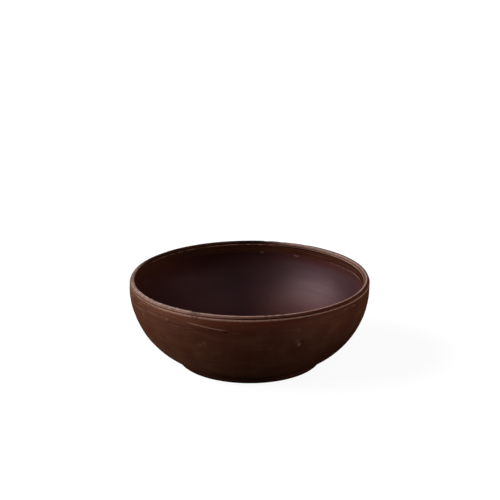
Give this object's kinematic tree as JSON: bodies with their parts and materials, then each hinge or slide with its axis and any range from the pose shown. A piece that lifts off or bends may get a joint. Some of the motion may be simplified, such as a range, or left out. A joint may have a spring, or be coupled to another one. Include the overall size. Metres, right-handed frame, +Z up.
{
  "type": "clay bowl",
  "caption": "Round wheel-thrown clay bowl with a coiled lip, a low foot ring and a dark slip lining, for holding food.",
  "frame": {"origin": "centre of the foot ring's face, on the table", "axes": "+Z up along the axis of the bowl; the bowl is round, so +X and +Y are free"},
  "size_m": [0.16, 0.16, 0.058],
  "materials": {
    "fired_clay_wall": "matt, wheel-thrown",
    "fired_clay_lip": "matt, rubbed smooth",
    "fired_clay_foot": "matt",
    "dark_slip": "satin, burnished"
  },
  "bodies": {
    "root": {"thrown_body": "fired_clay_wall", "lip_coil": "fired_clay_lip", "foot_ring": "fired_clay_foot", "slip_lining": "dark_slip"}
  },
  "joints": []
}
